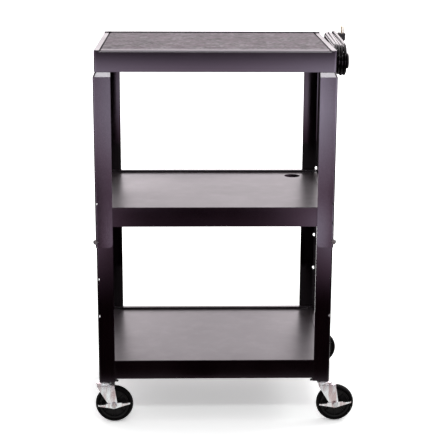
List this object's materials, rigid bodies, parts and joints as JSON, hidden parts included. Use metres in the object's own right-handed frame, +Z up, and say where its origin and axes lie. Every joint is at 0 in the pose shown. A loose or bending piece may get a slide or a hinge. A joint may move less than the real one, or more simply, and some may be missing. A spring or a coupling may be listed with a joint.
{
  "type": "utility cart",
  "caption": "Adjustable-height steel equipment cart: flanged shelves on telescoping angle legs, swivel casters with brakes, and a side power unit with a wound cord.",
  "frame": {"origin": "centre of the footprint on the floor, cord and plug not counted", "axes": "+Z up, +X to the cart's right when facing its front, +Y to the rear"},
  "size_m": [0.6976, 0.4872, 1.0346],
  "materials": {
    "powder_coat": "satin black powder coat over folded sheet steel, fine texture",
    "zinc": "bright zinc-plated steel",
    "mat_rubber": "dull pebbled black rubber mat",
    "black_plastic": "moulded black plastic, satin",
    "receptacle_plastic": "moulded dark plastic, satin",
    "cord_rubber": "black cord jacket, slightly glossy",
    "plug_rubber": "moulded black plug with bright metal blades",
    "tyre_rubber": "matt black rubber tread",
    "hub_plastic": "black moulded wheel body"
  },
  "bodies": {
    "lower_frame": {"bottom_shelf": "powder_coat", "middle_shelf": "powder_coat", "lower_leg_front_left": "powder_coat", "lower_leg_front_right": "powder_coat", "lower_leg_rear_left": "powder_coat", "lower_leg_rear_right": "powder_coat", "corner_plate_front_left": "powder_coat", "corner_plate_front_right": "powder_coat", "corner_plate_rear_left": "powder_coat", "corner_plate_rear_right": "powder_coat", "raceway_front_left": "zinc", "raceway_front_right": "zinc", "raceway_rear_left": "zinc", "raceway_rear_right": "zinc", "kingpin_front_left": "zinc", "kingpin_front_right": "zinc", "kingpin_rear_left": "zinc", "kingpin_rear_right": "zinc"},
    "upper_frame": {"top_shelf": "powder_coat", "top_mat": "mat_rubber", "upper_leg_front_left": "powder_coat", "upper_leg_front_right": "powder_coat", "upper_leg_rear_left": "powder_coat", "upper_leg_rear_right": "powder_coat", "height_bolt_front_left": "zinc", "height_bolt_front_right": "zinc", "height_bolt_rear_left": "zinc", "height_bolt_rear_right": "zinc", "outlet_housing": "black_plastic", "receptacle_1": "receptacle_plastic", "receptacle_2": "receptacle_plastic", "receptacle_3": "receptacle_plastic", "cord_hook_front": "black_plastic", "cord_hook_rear": "black_plastic", "housing_screw_front": "zinc", "housing_screw_rear": "zinc", "cord_strain_relief": "cord_rubber", "power_cord_lead": "cord_rubber", "power_cord_hank": "cord_rubber", "power_cord_tail": "cord_rubber", "plug": "plug_rubber"},
    "swivel_front_left": {"fork_front_left": "zinc", "axle_front_left": "zinc"},
    "wheel_front_left": {"tyre_front_left": "tyre_rubber", "hub_front_left": "hub_plastic"},
    "swivel_front_right": {"fork_front_right": "zinc", "axle_front_right": "zinc"},
    "wheel_front_right": {"tyre_front_right": "tyre_rubber", "hub_front_right": "hub_plastic"},
    "swivel_rear_left": {"fork_rear_left": "zinc", "axle_rear_left": "zinc"},
    "wheel_rear_left": {"tyre_rear_left": "tyre_rubber", "hub_rear_left": "hub_plastic"},
    "swivel_rear_right": {"fork_rear_right": "zinc", "axle_rear_right": "zinc"},
    "wheel_rear_right": {"tyre_rear_right": "tyre_rubber", "hub_rear_right": "hub_plastic"},
    "brake_front_left": {"brake_lever_front_left": "zinc"},
    "brake_front_right": {"brake_lever_front_right": "zinc"}
  },
  "joints": [
    {"name": "height_slide", "type": "slide", "parent": "lower_frame", "child": "upper_frame", "axis": [0, 0, 1], "range_m": [-0.3048, 0]},
    {"name": "swivel_front_left_turn", "type": "hinge", "parent": "lower_frame", "child": "swivel_front_left", "pos_m": [-0.32715, -0.2191, 0.105], "axis": [0, 0, 1], "continuous": true},
    {"name": "wheel_front_left_roll", "type": "hinge", "parent": "swivel_front_left", "child": "wheel_front_left", "pos_m": [-0.29865, -0.2191, 0.0508], "axis": [0, 1, 0], "continuous": true},
    {"name": "swivel_front_right_turn", "type": "hinge", "parent": "lower_frame", "child": "swivel_front_right", "pos_m": [0.26885, -0.2191, 0.105], "axis": [0, 0, 1], "continuous": true},
    {"name": "wheel_front_right_roll", "type": "hinge", "parent": "swivel_front_right", "child": "wheel_front_right", "pos_m": [0.29735, -0.2191, 0.0508], "axis": [0, 1, 0], "continuous": true},
    {"name": "swivel_rear_left_turn", "type": "hinge", "parent": "lower_frame", "child": "swivel_rear_left", "pos_m": [-0.32715, 0.2191, 0.105], "axis": [0, 0, 1], "continuous": true},
    {"name": "wheel_rear_left_roll", "type": "hinge", "parent": "swivel_rear_left", "child": "wheel_rear_left", "pos_m": [-0.29865, 0.2191, 0.0508], "axis": [0, 1, 0], "continuous": true},
    {"name": "swivel_rear_right_turn", "type": "hinge", "parent": "lower_frame", "child": "swivel_rear_right", "pos_m": [0.26885, 0.2191, 0.105], "axis": [0, 0, 1], "continuous": true},
    {"name": "wheel_rear_right_roll", "type": "hinge", "parent": "swivel_rear_right", "child": "wheel_rear_right", "pos_m": [0.29735, 0.2191, 0.0508], "axis": [0, 1, 0], "continuous": true},
    {"name": "brake_front_left_rock", "type": "hinge", "parent": "swivel_front_left", "child": "brake_front_left", "pos_m": [-0.29865, -0.2191, 0.0508], "axis": [0, 1, 0], "range_deg": [0, 9]},
    {"name": "brake_front_right_rock", "type": "hinge", "parent": "swivel_front_right", "child": "brake_front_right", "pos_m": [0.29735, -0.2191, 0.0508], "axis": [0, 1, 0], "range_deg": [0, 9]}
  ]
}
